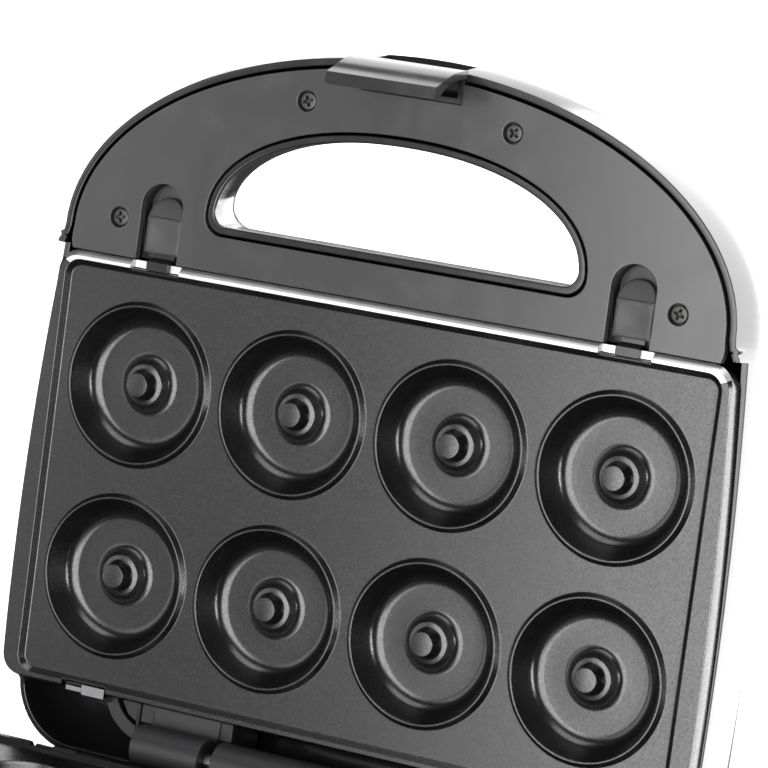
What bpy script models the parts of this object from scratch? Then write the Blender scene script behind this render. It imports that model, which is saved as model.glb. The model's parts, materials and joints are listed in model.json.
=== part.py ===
"""Electric ring-cake maker: two hinged halves with non-stick plates, opened to 105.5 degrees.

Both halves are the same shape, so every piece is modelled in one half frame: x to the right,
v from the hinge axis towards the handle, w outwards from the plane where the halves meet.
The half frame is held by an empty on the hinge axis. The base's empty is turned upside down,
and the lid's is swung open.
"""
import math

import bmesh
import bpy
from mathutils import Matrix, Vector

MM = 0.001
GAP = 0.3                    # clearance between neighbouring pieces
SEAM = 0.25                  # each half stays this far from the meeting plane

# Overall form of one half
OPEN_DEG = 105.5
HALF_HEIGHT = 38.0           # meeting plane to the outside, over the body
HANDLE_HEIGHT = 22.0         # the same at the front of the handle
SLOPE_START = 136.0          # v where the outside starts to slope down to the handle
SLOPE_END = 168.0
CAP_SCALES = (0.86, 0.77, 0.70, 0.64, 0.57, 0.50)    # rings over the outside face
WALL = 2.2
SIDE_BULGE = 1.3
EDGE_ROUND = 15.0
REAR_V = -9.7
REAR_CORNER = 20.0
SIDE_WIDEST = 114.3
SIDE_CURVE = 0.00045
SIDE_MIDDLE = 55.0
SHOULDER_V = 142.4
ARCH_V = 148.0
ARCH_HALF_WIDTH = 108.8
ARCH_RISE = 62.0
ARCH_STEPS = 10
SHOULDER_FADE = 9.0          # depth over which the shoulder fades into the side
RIM_DEPTH = 5.3              # the shell's rim under the plate's edge
REAR_RIM_DEPTH = 14.9        # the shell's rim round the hinge

# Hand hole through the handle
HOLE_HALF_WIDTH = 62.0
HOLE_V = 158.0
HOLE_RISE = 31.0
HOLE_CORNER = 6.0
HOLE_POWER = 2.15
HOLE_STEPS = 8
HOLE_LIP = 3.0               # from the cover's edge to the wall of the hole
HOLE_WALL = 2.2
FLARE_W = 4.0                # the hole flares from this depth to the outside face
FLARE_SIDE, FLARE_REAR, FLARE_FRONT = 14.0, 3.5, 5.0
FLARE_STEPS = 4

# Plate
PLATE_V0, PLATE_V1 = 12.5, 139.5
PLATE_WIDEST = 112.6
PLATE_CURVE = 0.00051
PLATE_MIDDLE = 50.0
PLATE_EDGE = 4.9
PLATE_FLARE = 1.6            # how far the plate's edge leans out at its foot
FIELD_DEPTH = 1.5            # the field is sunk by this, with sides at 45 degrees
FIELD_HALF_WIDTH = 105.5
FIELD_INSET = 2.7
PLATE_SKIN = 2.2
PITCH_X, PITCH_V = 52.0, 57.25
PLATE_CENTRE_V = 76.0
WELL_DEPTH = 7.7
ELEMENT_W = 14.0
WELL_STEPS = 12

# Handle cover, releases and screws
COVER_V0 = 141.5
COVER_THICK = 2.4
RELEASE_X = 76.6
RELEASE_HALF = 6.0
POCKET_HALF = 7.0
POCKET_ROUND_V = 157.5
POCKET_DEPTH = 6.3
HOOK_X = 83.0
SCREWS = ((33.3, 194.9), (90.8, 152.7))

# Hinge
BARREL_R = 6.5
PIN_R = 2.0
LID_KNUCKLE = (38.0, 61.0)
BASE_KNUCKLE = 33.7

# Latch clip
CLIP_HALF = 17.5
CLIP_PIVOT = (205.5, 5.0)
CLIP_PIN_R = 1.2
CLIP_NECK = 13.4             # half width of the clip inside the lid's bay
CLIP_NECK_W = -0.6
CLIP_BAY = {"lid": (14.6, 202.2, 12.0), "base": (18.9, 199.9, 21.0)}   # half width, v, depth
BAY_WALL = 1.6

# Lid and base fittings
LIGHT_X, LIGHT_V = 13.0, 112.0
FOOT_HEIGHT = 4.7
FEET = (("rear", 13.0), ("front", 128.0))
FOOT_X = 86.0
CORD_X, CORD_W = 70.0, 27.0

# Place of the hinge axis: the footprint is centred on the origin and the feet stand on z = 0
HINGE_Y = 68.3
HINGE_Z = HALF_HEIGHT + GAP + FOOT_HEIGHT


# ---------------------------------------------------------------- scene and materials

def clear_scene():
    for item in list(bpy.data.objects):
        bpy.data.objects.remove(item)


def new_collection(name):
    group = bpy.data.collections.new(name)
    bpy.context.scene.collection.children.link(group)
    return group


def finish_of(name, colour, roughness, metallic=0.0):
    material = bpy.data.materials.new(name)
    material.use_nodes = True
    shader = material.node_tree.nodes["Principled BSDF"]
    shader.inputs["Base Color"].default_value = (*colour, 1.0)
    shader.inputs["Roughness"].default_value = roughness
    shader.inputs["Metallic"].default_value = metallic
    return material


clear_scene()
PARTS = new_collection("ring_cake_maker")
CUTTERS = new_collection("cutters")
BLACK = finish_of("gloss_black_plastic", (0.012, 0.012, 0.013), 0.18)
GREY = finish_of("gloss_grey_plastic", (0.075, 0.077, 0.08), 0.22)
SATIN = finish_of("satin_grey_plastic", (0.11, 0.11, 0.115), 0.45)
COATING = finish_of("non_stick_coating", (0.05, 0.05, 0.052), 0.4, 0.3)
STEEL = finish_of("bright_steel", (0.62, 0.62, 0.63), 0.25, 1.0)
DARK_STEEL = finish_of("blackened_steel", (0.06, 0.06, 0.062), 0.4, 1.0)
ALUMINIUM = finish_of("aluminium_sheet", (0.8, 0.8, 0.81), 0.3, 1.0)
SHEATH = finish_of("element_sheath", (0.25, 0.23, 0.22), 0.5, 1.0)
RUBBER = finish_of("black_rubber", (0.02, 0.02, 0.02), 0.8)
CERAMIC = finish_of("white_ceramic", (0.8, 0.78, 0.74), 0.4)
RED_LENS = finish_of("red_lens", (0.5, 0.02, 0.015), 0.1)
GREEN_LENS = finish_of("green_lens", (0.02, 0.35, 0.06), 0.1)


# ---------------------------------------------------------------- shape helpers

def place(point):
    """A half-frame point (x, v, w) in millimetres as local coordinates in metres."""
    x, v, w = point
    return Vector((x, -v, w)) * MM


def add_object(name, mesh, material=None, parent=None):
    """A part when it has a material, a cutter when it has none."""
    item = bpy.data.objects.new(name, mesh)
    item.parent = parent
    if material is None:
        CUTTERS.objects.link(item)
        item.hide_render = True
        item.display_type = "WIRE"
    else:
        PARTS.objects.link(item)
        mesh.materials.append(material)
    return item


def mesh_from(bm, name):
    bmesh.ops.remove_doubles(bm, verts=bm.verts, dist=1e-6)
    bmesh.ops.recalc_face_normals(bm, faces=bm.faces)
    mesh = bpy.data.meshes.new(name)
    bm.to_mesh(mesh)
    bm.free()
    mesh.shade_smooth()
    mesh.set_sharp_from_angle(angle=math.radians(35))
    return mesh


def baked(item):
    """The evaluated mesh of an object, which is then removed."""
    depsgraph = bpy.context.evaluated_depsgraph_get()
    mesh = bpy.data.meshes.new_from_object(item.evaluated_get(depsgraph))
    bpy.data.objects.remove(item)
    return mesh


def slab(name, outline, low, high, section=False):
    """A flat outline given thickness. The outline is (x, v) between two depths w, or with
    section set it is (v, w) between two places along x."""
    curve = bpy.data.curves.new(name, "CURVE")
    curve.dimensions = "2D"
    curve.fill_mode = "BOTH"
    curve.extrude = (high - low) / 2
    spline = curve.splines.new("POLY")
    spline.points.add(len(outline) - 1)
    for point, (a, b) in zip(spline.points, outline):
        point.co = (a, b, 0.0, 1.0)
    spline.use_cyclic_u = True
    flat = bpy.data.objects.new(name, curve)
    CUTTERS.objects.link(flat)
    mesh = baked(flat)
    bm = bmesh.new()
    bm.from_mesh(mesh)
    middle = (low + high) / 2
    for vert in bm.verts:
        a, b, c = vert.co
        vert.co = place((c + middle, a, b)) if section else place((a, b, c + middle))
    return mesh_from(bm, name)


def box(name, x, v, w):
    outline = [(x[0], v[0]), (x[1], v[0]), (x[1], v[1]), (x[0], v[1])]
    return slab(name, outline, *w)


def turned(name, profile, steps=24, closed=False):
    """A profile of (radius, w), outer side from high w to low w, turned about the w axis."""
    bm = bmesh.new()
    verts = [bm.verts.new((radius * MM, 0, w * MM)) for radius, w in profile]
    for first, second in zip(verts, verts[1:]):
        bm.edges.new((first, second))
    if closed:
        bm.edges.new((verts[-1], verts[0]))
    mesh = bpy.data.meshes.new(name)
    bm.to_mesh(mesh)
    bm.free()
    item = bpy.data.objects.new(name, mesh)
    CUTTERS.objects.link(item)
    screw = item.modifiers.new("turn", "SCREW")
    screw.steps = screw.render_steps = steps
    screw.use_merge_vertices = True
    screw.merge_threshold = 0.00001
    return baked(item)


def copies(name, mesh, places, turn=None):
    """One mesh holding a copy of another at each half-frame place."""
    bm = bmesh.new()
    for spot in places:
        shift = Matrix.Translation(place(spot))
        added = bmesh.new()
        added.from_mesh(mesh)
        added.transform(shift @ turn if turn else shift)
        step = bpy.data.meshes.new(name)
        added.to_mesh(step)
        added.free()
        bm.from_mesh(step)
        bpy.data.meshes.remove(step)
    return mesh_from(bm, name)


def rod(name, profile, spot, direction, steps=16, closed=False):
    """A turned piece whose axis points along x or v instead of w."""
    turn = {"x": Matrix.Rotation(math.radians(90), 4, "Y"),
            "v": Matrix.Rotation(math.radians(90), 4, "X")}[direction]
    return copies(name, turned(name, profile, steps, closed), [spot], turn)


def loft(name, rings, close_ends=True):
    """Rings with equal numbers of points, joined by quads."""
    bm = bmesh.new()
    rows = [[bm.verts.new(place(point)) for point in ring] for ring in rings]
    for row, above in zip(rows, rows[1:]):
        for i in range(len(row)):
            j = (i + 1) % len(row)
            bm.faces.new((row[i], row[j], above[j], above[i]))
    if close_ends:
        bm.faces.new(rows[0])
        bm.faces.new(rows[-1])
    return mesh_from(bm, name)


def boolean(item, cutter, operation="DIFFERENCE"):
    modifier = item.modifiers.new(operation.lower(), "BOOLEAN")
    modifier.operation = operation
    modifier.object = cutter
    modifier.solver = "EXACT"


def arc(centre, radius, start, end, steps):
    points = []
    for i in range(steps + 1):
        angle = math.radians(start + (end - start) * i / steps)
        points.append((centre[0] + radius * math.cos(angle), centre[1] + radius * math.sin(angle)))
    return points


def mirrored(right):
    """A closed outline from its right half, listed from the rear centre to the front centre."""
    left = [(-x, v) for x, v in reversed(right) if abs(x) > 1e-6]
    return right + left


def inset(outline, distance):
    """Each point of an anticlockwise outline moved inwards along its normal."""
    moved = []
    for i, (x, v) in enumerate(outline):
        before = Vector(outline[i - 1])
        after = Vector(outline[(i + 1) % len(outline)])
        along = (after - before).normalized()
        moved.append((x - along.y * distance, v + along.x * distance))
    return moved


# ---------------------------------------------------------------- outlines

def shell_side(v):
    return SIDE_WIDEST - SIDE_CURVE * (v - SIDE_MIDDLE) ** 2


def shell_outlines():
    """The outline at the rim, with its shoulder, and the smooth one that it fades into."""
    corner_v = REAR_V + REAR_CORNER
    corner = (shell_side(corner_v) - REAR_CORNER, corner_v)
    body = [(0.0, REAR_V), (corner[0] / 2, REAR_V)]
    body += arc(corner, REAR_CORNER, -90, 0, 4)
    body += [(shell_side(v), v) for v in (38.0, 70.0, 100.0, 125.0)]
    top = shell_side(SHOULDER_V)
    rim = body + [(top, SHOULDER_V), (top - 0.3, SHOULDER_V + 1.8), (ARCH_HALF_WIDTH + 0.4, 146.6)]
    wide = body + [(top, SHOULDER_V), (top - 0.1, SHOULDER_V + 1.8), (top - 0.2, 146.6)]
    for i in range(ARCH_STEPS + 1):
        angle = math.radians(90.0 * i / ARCH_STEPS)
        rim.append((ARCH_HALF_WIDTH * math.cos(angle), ARCH_V + ARCH_RISE * math.sin(angle)))
        wide.append(((top - 0.4) * math.cos(angle), ARCH_V + (ARCH_RISE + 0.6) * math.sin(angle)))
    return mirrored(rim), mirrored(wide)


def hole_outline(shrink=0.0, flare=0.0):
    """The hand hole: a flat rear edge, round corners and an arched front."""
    half = HOLE_HALF_WIDTH - shrink + flare * FLARE_SIDE
    rear = HOLE_V - HOLE_CORNER + shrink - flare * FLARE_REAR
    rise = HOLE_RISE - shrink + flare * FLARE_FRONT
    corner = HOLE_CORNER - shrink / 2 + flare * FLARE_REAR
    right = [(0.0, rear), (half / 2, rear)]
    right += arc((half - corner, rear + corner), corner, -90, 0, 3)
    for i in range(1, HOLE_STEPS + 1):
        angle = math.radians(90.0 * i / HOLE_STEPS)
        x = half * math.cos(angle) ** (2 / HOLE_POWER) if i < HOLE_STEPS else 0.0
        right.append((x, HOLE_V + rise * math.sin(angle) ** (2 / HOLE_POWER)))
    return mirrored(right)


def hole_form(name, shrink, mouth):
    """The hand hole as a solid: straight at the cover, then flaring to the outside face."""
    rings = [at_depth(hole_outline(shrink), mouth), at_depth(hole_outline(shrink), FLARE_W)]
    for i in range(1, FLARE_STEPS + 1):
        angle = math.radians(90.0 * i / FLARE_STEPS)
        outline = hole_outline(shrink, 1 - math.cos(angle))
        rings.append([(x, v, FLARE_W + (height_at(v) - FLARE_W) * math.sin(angle)) for x, v in outline])
    rings.append(at_depth(hole_outline(shrink, 1.0), 60))
    return loft(name, rings)


def height_at(v):
    share = min(max((v - SLOPE_START) / (SLOPE_END - SLOPE_START), 0.0), 1.0)
    return HANDLE_HEIGHT + (HALF_HEIGHT - HANDLE_HEIGHT) * 0.5 * (1 + math.cos(math.pi * share))


def shell_form(name, skin, shares, mouth):
    """The outer form of a half, shrunk by skin: side rings by their share of the height, then
    rings that draw in over the outside face."""
    rim, wide = shell_outlines()
    rings = []
    for share in shares:
        lean = max(share - 0.5, 0.0) * 2
        swell = SIDE_BULGE * math.sin(math.pi * min(share, 0.5))
        draw_in = skin - swell + (EDGE_ROUND - skin) * (1 - math.sqrt(1 - lean * lean))
        ring = []
        for (x0, v0), (x1, v1), (x2, v2) in zip(inset(rim, draw_in), inset(wide, draw_in), wide):
            depth = share * height_at(v2)
            blend = min(depth / SHOULDER_FADE, 1.0)
            x = x0 + (x1 - x0) * blend
            v = v0 + (v1 - v0) * blend
            ring.append((x, v, max(share * (height_at(v) - skin), mouth)))
        rings.append(ring)
    last = rings[-1]
    for scale in CAP_SCALES:
        ring = []
        for x, v, _ in last:
            nearer = PLATE_CENTRE_V + (v - PLATE_CENTRE_V) * scale
            ring.append((x * scale, nearer, height_at(nearer) - skin))
        rings.append(ring)
    return loft(name, rings)


def plate_outline(grow=0.0, corner=6.0):
    """The plate's outline, its long sides gently bowed."""
    low, high = PLATE_V0 - grow, PLATE_V1 + grow
    corner += grow

    def side(v):
        return PLATE_WIDEST - PLATE_CURVE * (v - PLATE_MIDDLE) ** 2 + grow

    right = [(0.0, low)]
    right += arc((side(low + corner) - corner, low + corner), corner, -90, 0, 3)
    right += [(side(v), v) for v in (45.0, 76.0, 107.0)]
    right += arc((side(high - corner) - corner, high - corner), corner, 0, 90, 3)
    right.append((0.0, high))
    return mirrored(right)


def field_outline(grow=0.0, corner=3.6):
    """The sunken field inside the plate's rim, with as many points as the plate's outline."""
    low, high = PLATE_V0 + FIELD_INSET - grow, PLATE_V1 - FIELD_INSET + grow
    half = FIELD_HALF_WIDTH + grow
    corner += grow
    right = [(0.0, low)]
    right += arc((half - corner, low + corner), corner, -90, 0, 3)
    right += [(half, v) for v in (45.0, 76.0, 107.0)]
    right += arc((half - corner, high - corner), corner, 0, 90, 3)
    right.append((0.0, high))
    return mirrored(right)


def rounded_box(half, low, high, corner, steps=3):
    right = [(0.0, low)] + arc((half - corner, low + corner), corner, -90, 0, steps)
    right += arc((half - corner, high - corner), corner, 0, 90, steps) + [(0.0, high)]
    return mirrored(right)


def at_depth(outline, w):
    return [(x, v, w) for x, v in outline]


def well_places():
    return [(PITCH_X * (column - 1.5), PLATE_CENTRE_V + PITCH_V * (row - 0.5), 0.0)
            for row in range(2) for column in range(4)]


def pair(x, v, w=0.0):
    return [(-x, v, w), (x, v, w)]


def sides(half):
    """The names of the sides at -x and +x in the half frame. The base's frame is upside down, so
    they change places there."""
    return ("left", "right") if half == "lid" else ("right", "left")


# ---------------------------------------------------------------- pieces of one half

def make_shell(half, frame):
    """The outer casing with its hand hole, screw posts, hinge blocks and clip bay."""
    form = shell_form(half, 0.0, (0, .25, .5, .75, .92, 1), SEAM)
    shell = add_object(half + "_shell", form, BLACK, frame)
    form = shell_form("cavity", WALL, (0, .5, .85, 1), -2.0)
    cavity = add_object(half + "_cavity", form, None, frame)
    hole_wall = hole_form("hole_wall", HOLE_LIP - HOLE_WALL, -4)
    boolean(cavity, add_object(half + "_hole_wall", hole_wall, None, frame))
    post = turned("post", [(0, 60), (3.8, 60), (3.8, 5.0), (0, 5.0)], 8)
    spots = [spot for x, v in SCREWS for spot in pair(x, v)]
    boolean(cavity, add_object(half + "_posts", copies("posts", post, spots), None, frame))
    bay_x, bay_v, bay_w = CLIP_BAY[half]
    reach = bay_x + BAY_WALL
    bay_wall = box("bay_wall", (-reach, reach), (bay_v - 2, 230), (-4, bay_w + 2))
    boolean(cavity, add_object(half + "_bay_wall", bay_wall, None, frame))
    block_x = LID_KNUCKLE if half == "lid" else (15.0, BASE_KNUCKLE)
    for side, name in ((-1, "left"), (1, "right")):
        ends = sorted((side * block_x[0], side * block_x[1]))
        deep = box("block", ends, (-9.5, 11.0), (REAR_RIM_DEPTH + 1, 60))
        boolean(cavity, add_object(f"{half}_block_root_{name}", deep, None, frame))
    boolean(shell, cavity)
    rim = [(SHOULDER_V, -2), (SHOULDER_V, RIM_DEPTH), (13.5, RIM_DEPTH), (9.5, REAR_RIM_DEPTH),
           (-40, REAR_RIM_DEPTH), (-40, -2)]
    rim = slab("rim", rim, -130, 130, section=True)
    boolean(shell, add_object(half + "_rim_cut", rim, None, frame))
    hole = hole_form("hole", HOLE_LIP, -2)
    boolean(shell, add_object(half + "_hand_hole", hole, None, frame))
    for side, name in ((-1, "left"), (1, "right")):
        ends = sorted((side * block_x[0], side * block_x[1]))
        upper = [(-9.4, REAR_RIM_DEPTH + 1.4), (-9.4, 9), (-6.5, 3), (0, 0), (5, 4), (10.9, 7),
                 (10.9, REAR_RIM_DEPTH + 1.4)]
        block = slab("block", upper, *ends, section=True)
        boolean(shell, add_object(f"{half}_block_{name}", block, None, frame), "UNION")
    barrels = [LID_KNUCKLE, (-LID_KNUCKLE[1], -LID_KNUCKLE[0])]
    if half == "base":
        barrels = [(-BASE_KNUCKLE, BASE_KNUCKLE)]
    for number, (low, high) in enumerate(barrels):
        reach = (high - low) / 2
        solid = [(0, reach), (BARREL_R - .5, reach), (BARREL_R, reach - .5), (BARREL_R, .5 - reach),
                 (BARREL_R - .5, -reach), (0, -reach)]
        barrel = rod("barrel", solid, ((low + high) / 2, 0, 0), "x")
        boolean(shell, add_object(f"{half}_barrel_{number}", barrel, None, frame), "UNION")
    for side, name in ((-1, "left"), (1, "right")):
        bore = rod("bore", [(0, 24), (PIN_R + GAP, 24), (PIN_R + GAP, -24), (0, -24)],
                   (side * 42, 0, 0), "x", 12)
        boolean(shell, add_object(f"{half}_pin_bore_{name}", bore, None, frame))
    pilot = turned("pilot", [(0, 17), (1.6, 17), (1.6, 4), (0, 4)], 8)
    boolean(shell, add_object(half + "_pilots", copies("pilots", pilot, spots), None, frame))
    bay = box("bay", (-bay_x, bay_x), (bay_v, 230), (-4, bay_w))
    boolean(shell, add_object(half + "_clip_bay", bay, None, frame))
    return shell


def finish_lid_shell(shell, frame):
    """Openings for the two lights, and the bores for the clip's pin."""
    light = turned("light", [(0, 45), (4.3, 45), (4.3, 30), (0, 30)], 16)
    lights = copies("lights", light, pair(LIGHT_X, LIGHT_V))
    boolean(shell, add_object("lid_light_holes", lights, None, frame))
    reach = CLIP_BAY["lid"][0] + 1.3
    radius = CLIP_PIN_R + GAP
    bore = [(0, reach), (radius, reach), (radius, -reach), (0, -reach)]
    bore = rod("clip_bore", bore, (0, *CLIP_PIVOT), "x", 10)
    boolean(shell, add_object("lid_clip_bore", bore, None, frame))


def finish_base_shell(shell, frame):
    """The catch for the clip, the holes for the feet and the cord inlet."""
    catch = [(199.0, 9.0), (201.2, 12.5), (201.2, 14.0), (199.0, 14.0)]
    catch = slab("catch", catch, -14, 14, section=True)
    boolean(shell, add_object("base_catch", catch, None, frame), "UNION")
    stub = turned("stub", [(0, 45), (2.9, 45), (2.9, 30), (0, 30)], 12)
    spots = [spot for _, v in FEET for spot in pair(FOOT_X, v)]
    boolean(shell, add_object("base_foot_holes", copies("stubs", stub, spots), None, frame))
    inlet = [(0, 12), (4.9, 12), (4.9, -12), (0, -12)]
    inlet = rod("inlet", inlet, (-CORD_X, REAR_V, CORD_W), "v", 16)
    boolean(shell, add_object("base_inlet_hole", inlet, None, frame))


def make_cover(half, frame):
    """The flush inner cover of the handle, with tubs for the releases and screw recesses."""
    bay_x, bay_v, _ = CLIP_BAY[half]
    edge = HOLE_LIP
    right = [(ARCH_HALF_WIDTH - edge - 0.4, COVER_V0), (ARCH_HALF_WIDTH - edge + 0.3, 145.0)]
    for i in range(ARCH_STEPS + 1):
        angle = math.radians(90.0 * i / ARCH_STEPS)
        x = (ARCH_HALF_WIDTH - edge) * math.cos(angle)
        right.append((x, ARCH_V + (ARCH_RISE - edge) * math.sin(angle)))
    cover = add_object(half + "_handle_cover", slab("cover", mirrored(right), SEAM, SEAM + COVER_THICK),
                       GREY, frame)
    tub = box("tub", (-8.6, 8.6), (COVER_V0 + 0.02, 166.0), (SEAM + 0.5, POCKET_DEPTH + 1.5))
    pocket = [(-POCKET_HALF, 120)] + arc((0, POCKET_ROUND_V), POCKET_HALF, 180, 0, 6)
    pocket += [(POCKET_HALF, 120)]
    pocket = slab("pocket", pocket, -4, POCKET_DEPTH)
    post = box("post", (-1.5, 1.5), (154.8, 156.0), (3.7, POCKET_DEPTH + 0.5))
    spots = pair(RELEASE_X, 0)
    boolean(cover, add_object(half + "_tubs", copies("tubs", tub, spots), None, frame), "UNION")
    boolean(cover, add_object(half + "_pockets", copies("pockets", pocket, spots), None, frame))
    boolean(cover, add_object(half + "_spring_posts", copies("posts", post, spots), None, frame), "UNION")
    places = [spot for x, v in SCREWS for spot in pair(x, v)]
    boss = turned("boss", [(0, 4.4), (4.3, 4.4), (4.3, 1), (0, 1)], 8)
    boolean(cover, add_object(half + "_bosses", copies("bosses", boss, places), None, frame), "UNION")
    seat = turned("seat", [(0, 9), (1.7, 9), (1.7, 2.7), (3.1, 2.7), (3.1, -2), (0, -2)], 8)
    boolean(cover, add_object(half + "_seats", copies("seats", seat, places), None, frame))
    boolean(cover, add_object(half + "_cover_hole", slab("hole", hole_outline(0), -2, 20), None, frame))
    reach = bay_x + BAY_WALL + 0.6
    notch = box("notch", (-reach, reach), (bay_v - 2.8, 230), (-4, 20))
    boolean(cover, add_object(half + "_cover_notch", notch, None, frame))


def make_plate(half, frame):
    """The non-stick plate: rim, sunken field, and a grid of ring wells with centre posts."""
    top, foot = plate_outline(), plate_outline(PLATE_FLARE)
    field, brink = field_outline(), field_outline(FIELD_DEPTH)
    inner = inset(foot, 5.0)
    under = FIELD_DEPTH + PLATE_SKIN + SEAM
    rings = [at_depth(inner, under), at_depth(inner, PLATE_EDGE), at_depth(foot, PLATE_EDGE),
             at_depth(top, SEAM), at_depth(brink, SEAM), at_depth(field, SEAM + FIELD_DEPTH)]
    plate = add_object(half + "_plate", loft("plate", rings), COATING, frame)
    floor = SEAM + WELL_DEPTH
    cup = [(0, floor + 2), (18.5, floor + 2), (24.8, 5.0), (24.3, SEAM), (0, SEAM)]
    well = [(16.2, floor), (19.7, floor - 3.3), (22.9, SEAM), (22.9, -1), (3.5, -1), (3.5, SEAM),
            (4.4, 4.5), (6.2, 4.7), (9.7, floor)]
    cups = copies("cups", turned("cup", cup, WELL_STEPS), well_places())
    wells = copies("wells", turned("well", well, WELL_STEPS, closed=True), well_places())
    boolean(plate, add_object(half + "_cups", cups, None, frame), "UNION")
    boolean(plate, add_object(half + "_wells", wells, None, frame))
    front = box("notch", (-8.2, 8.2), (137.9, 150), (-2, 2.8))
    rear = box("notch", (-7.6, 7.6), (0, 13.9), (-2, 2.9))
    boolean(plate, add_object(half + "_tongue_notches", copies("notches", front, pair(RELEASE_X, 0)),
                              None, frame))
    boolean(plate, add_object(half + "_hook_notches", copies("notches", rear, pair(HOOK_X, 0)),
                              None, frame))


def make_heating(half, frame):
    """Reflector tray, heating element and the two rear hooks that hold the plate."""
    rings = [at_depth(rounded_box(107.4, 13.6, 138.8, 10), 5.7),
             at_depth(rounded_box(105.6, 15.2, 137.2, 8.5), 5.7),
             at_depth(rounded_box(105.2, 15.6, 136.8, 8.5), 19.5),
             at_depth(rounded_box(103.4, 17.4, 135.0, 7), 21.6)]
    mesh = loft("tray", rings, close_ends=False)
    bm = bmesh.new()
    bm.from_mesh(mesh)
    edge = [e for e in bm.edges if e.is_boundary and e.verts[0].co.z > 0.02]
    bmesh.ops.contextual_create(bm, geom=edge)
    mesh = mesh_from(bm, "tray")
    tray = add_object(half + "_reflector_tray", mesh, ALUMINIUM, frame)
    solid = tray.modifiers.new("sheet", "SOLIDIFY")
    solid.thickness = 0.7 * MM
    solid.offset = 0.0
    element(half, frame)
    for x, name in zip((-HOOK_X, HOOK_X), sides(half)):
        outline = [(9.4, 1.4), (13.4, 1.4), (13.4, 2.5), (10.4, 2.5), (10.4, 12), (14.8, 12), (14.8, 16),
                   (9.4, 16)]
        hook = slab("hook", outline, x - 6.8, x + 6.8, section=True)
        add_object(f"{half}_plate_hook_{name}", hook, STEEL, frame)


def element(half, frame):
    """A U-shaped sheathed tube under the two rows of wells."""
    curve = bpy.data.curves.new("element", "CURVE")
    curve.dimensions = "3D"
    curve.bevel_depth = 3.0 * MM
    curve.bevel_resolution = 1
    curve.use_fill_caps = True
    spread = PITCH_V / 2
    middle = PLATE_CENTRE_V
    route = [(-92, middle - spread), (0, middle - spread)]
    route += arc((68, middle), spread, -90, 90, 8)
    route += [(0, middle + spread), (-92, middle + spread)]
    spline = curve.splines.new("POLY")
    spline.points.add(len(route) - 1)
    for point, (x, v) in zip(spline.points, route):
        point.co = (*place((x, v, ELEMENT_W)), 1.0)
    item = bpy.data.objects.new("element", curve)
    CUTTERS.objects.link(item)
    bm = bmesh.new()
    bm.from_mesh(baked(item))
    add_object(half + "_heating_element", mesh_from(bm, "element"), SHEATH, frame)


def make_releases(half, frame):
    """Plate releases: a domed thumb slider with a tongue over the plate's edge, and its spring."""
    body = [(-RELEASE_HALF, 143.6)] + arc((0, 154.5), RELEASE_HALF, 180, 0, 8) + [(RELEASE_HALF, 143.6)]
    for x, name in zip((-RELEASE_X, RELEASE_X), sides(half)):
        shift = [(x, 0, 0)]
        slider = copies("slider", slab("slider", body, 2.3, 5.8), shift)
        item = add_object(f"{half}_release_{name}", slider, SATIN, frame)
        tongue = [(138.6, 1.0), (138.6, 2.5), (142.6, 2.5), (142.6, 5.0), (145.0, 5.0), (145.0, 1.0)]
        tongue = slab("tongue", tongue, x - 5, x + 5, section=True)
        channel = copies("channel", box("channel", (-2.4, 2.4), (146.6, 156.5), (3.4, 8)), shift)
        boolean(item, add_object(f"{half}_tongue_{name}", tongue, None, frame), "UNION")
        boolean(item, add_object(f"{half}_channel_{name}", channel, None, frame))
        add_object(f"{half}_release_spring_{name}", coil_spring(x), STEEL, frame)


def coil_spring(x, turns=4, steps=6):
    curve = bpy.data.curves.new("spring", "CURVE")
    curve.dimensions = "3D"
    curve.bevel_depth = 0.22 * MM
    curve.bevel_resolution = 0
    curve.use_fill_caps = True
    spline = curve.splines.new("POLY")
    count = turns * steps
    spline.points.add(count)
    for i, point in enumerate(spline.points):
        angle = 2 * math.pi * i / steps
        v = 147.3 + 6.8 * i / count
        point.co = (*place((x + 0.95 * math.cos(angle), v, 4.85 + 0.95 * math.sin(angle))), 1.0)
    item = bpy.data.objects.new("spring", curve)
    CUTTERS.objects.link(item)
    bm = bmesh.new()
    bm.from_mesh(baked(item))
    return mesh_from(bm, "spring")


def make_screws(half, frame):
    """Cross-head screws of the handle cover."""
    form = turned("screw", [(0, 13), (1.3, 11.5), (1.3, 2.4), (2.6, 2.4), (2.1, 0.9), (0, 0.9)], 10)
    slots = (box("slot", (-1.5, 1.5), (-0.35, 0.35), (0, 1.9)),
             box("slot", (-0.35, 0.35), (-1.5, 1.5), (0, 1.9)))
    for row, (x, v) in zip(("front", "rear"), SCREWS):
        for spot, name in zip(pair(x, v), sides(half)):
            screw = add_object(f"{half}_cover_screw_{row}_{name}", copies("screw", form, [spot]),
                               DARK_STEEL, frame)
            for number, slot in enumerate(slots):
                cutter = add_object(f"{half}_{row}_{name}_slot_{number}", copies("slot", slot, [spot]),
                                    None, frame)
                boolean(screw, cutter)


# ---------------------------------------------------------------- pieces of the lid or base alone

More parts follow.
